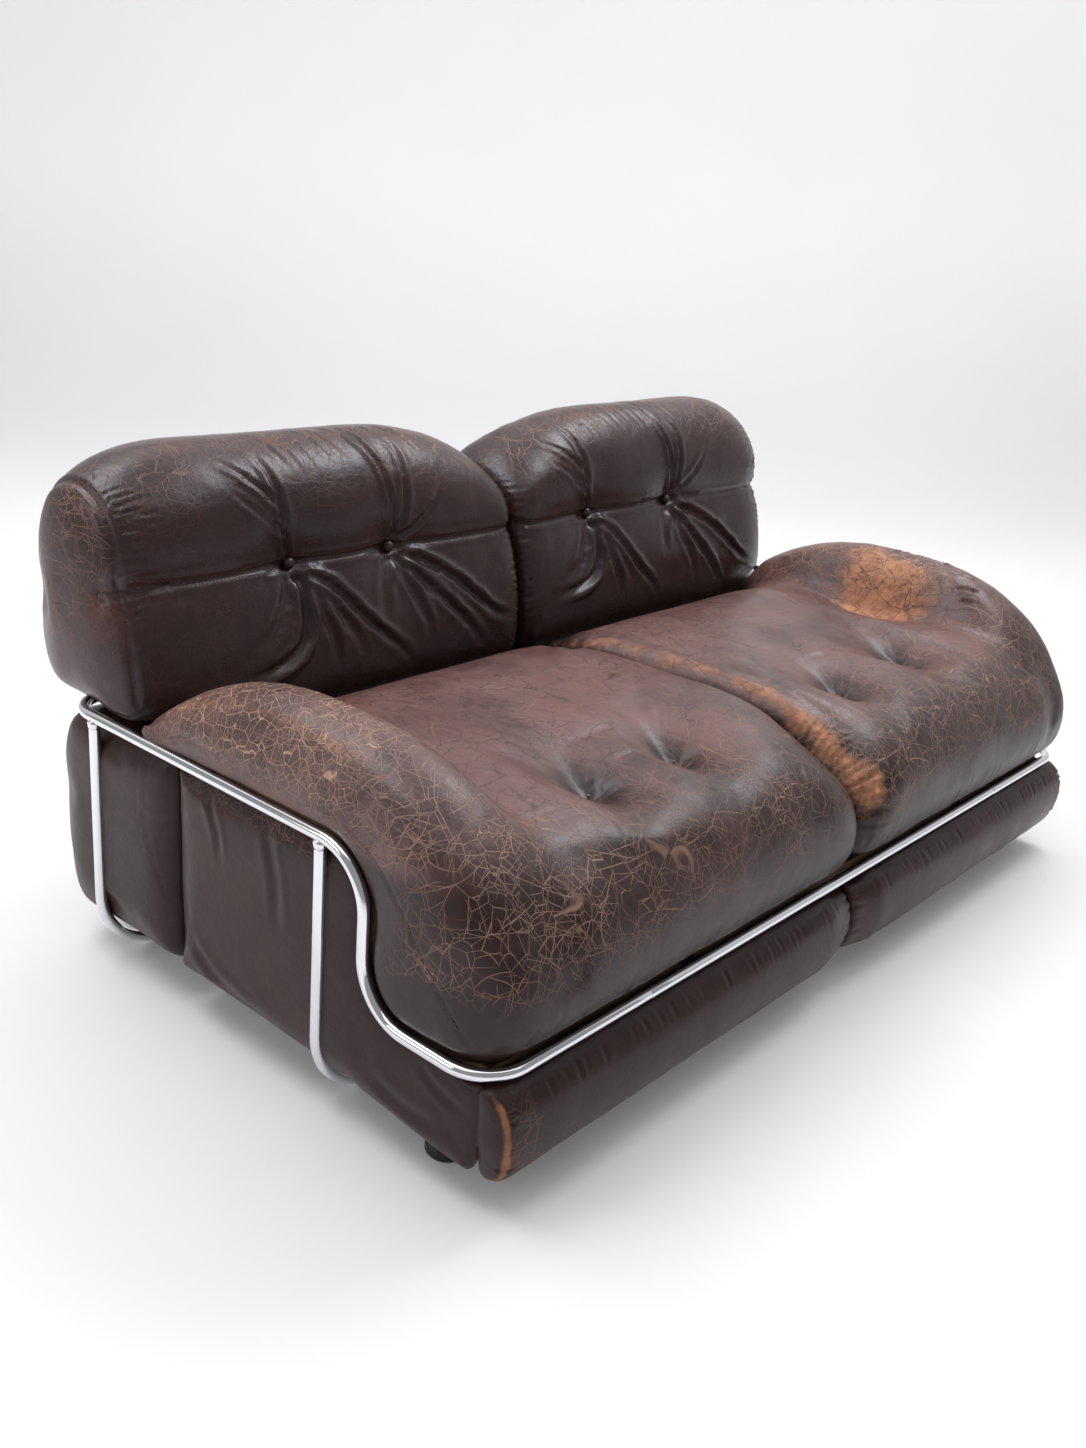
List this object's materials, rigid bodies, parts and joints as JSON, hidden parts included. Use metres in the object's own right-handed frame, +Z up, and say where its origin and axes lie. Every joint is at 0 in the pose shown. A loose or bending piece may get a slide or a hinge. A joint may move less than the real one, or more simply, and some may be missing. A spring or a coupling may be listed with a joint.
{
  "type": "worn leather sofa",
  "caption": "Low leather lounge sofa with pillow seats, tufted backs and a bent chrome rail that stands on U-shaped hoops.",
  "frame": {"origin": "on the floor under the middle of the sofa", "axes": "+X along the width, to the right as seen from the front; +Y from the seat's front to its back; +Z up"},
  "size_m": [1.5452, 0.952, 0.728],
  "materials": {
    "chrome": "polished chrome plate with pits and scuffs",
    "zinc": "dull zinc plate",
    "leather_seat": "worn semi-gloss leather, cracked, rubbed to tan on its crowns",
    "leather_back": "semi-gloss dark brown leather with fine creases",
    "leather_base": "smooth semi-gloss dark brown leather",
    "timber": "sawn softwood",
    "plywood": "plain plywood",
    "webbing": "rubberised strap",
    "lining": "black spun lining cloth",
    "twine": "waxed twine",
    "black_plastic": "moulded black plastic"
  },
  "bodies": {
    "root": {"back_board_left": "plywood", "back_board_right": "plywood", "back_cushion_left": "leather_back", "back_cushion_right": "leather_back", "button_left_1": "leather_back", "button_left_2": "leather_back", "button_right_1": "leather_back", "button_right_2": "leather_back", "button_tie_left_1": "twine", "button_tie_left_2": "twine", "button_tie_right_1": "twine", "button_tie_right_2": "twine", "foot_left": "black_plastic", "foot_right": "black_plastic", "frame_board_centre": "timber", "frame_board_front": "timber", "frame_board_left": "timber", "frame_board_rear": "timber", "frame_board_right": "timber", "front_pad_left": "leather_base", "front_pad_right": "leather_base", "hoop_back": "chrome", "hoop_front": "chrome", "lower_back_left": "leather_base", "lower_back_right": "leather_base", "lug_front_left": "zinc", "lug_front_right": "zinc", "lug_side_left": "zinc", "lug_side_right": "zinc", "rail_back": "chrome", "rail_front": "chrome", "rail_left": "chrome", "rail_right": "chrome", "screw_front_left": "zinc", "screw_front_right": "zinc", "screw_side_left": "zinc", "screw_side_right": "zinc", "seat_cushion_left": "leather_seat", "seat_cushion_right": "leather_seat", "seat_tie_left_1": "twine", "seat_tie_left_2": "twine", "seat_tie_right_1": "twine", "seat_tie_right_2": "twine", "side_pad_left": "leather_base", "side_pad_right": "leather_base", "spigot_back_left": "zinc", "spigot_back_right": "zinc", "spigot_front_left": "zinc", "spigot_front_right": "zinc", "strap_left_1": "webbing", "strap_left_2": "webbing", "strap_left_3": "webbing", "strap_left_4": "webbing", "strap_right_1": "webbing", "strap_right_2": "webbing", "strap_right_3": "webbing", "strap_right_4": "webbing", "underside_lining": "lining"}
  },
  "joints": []
}
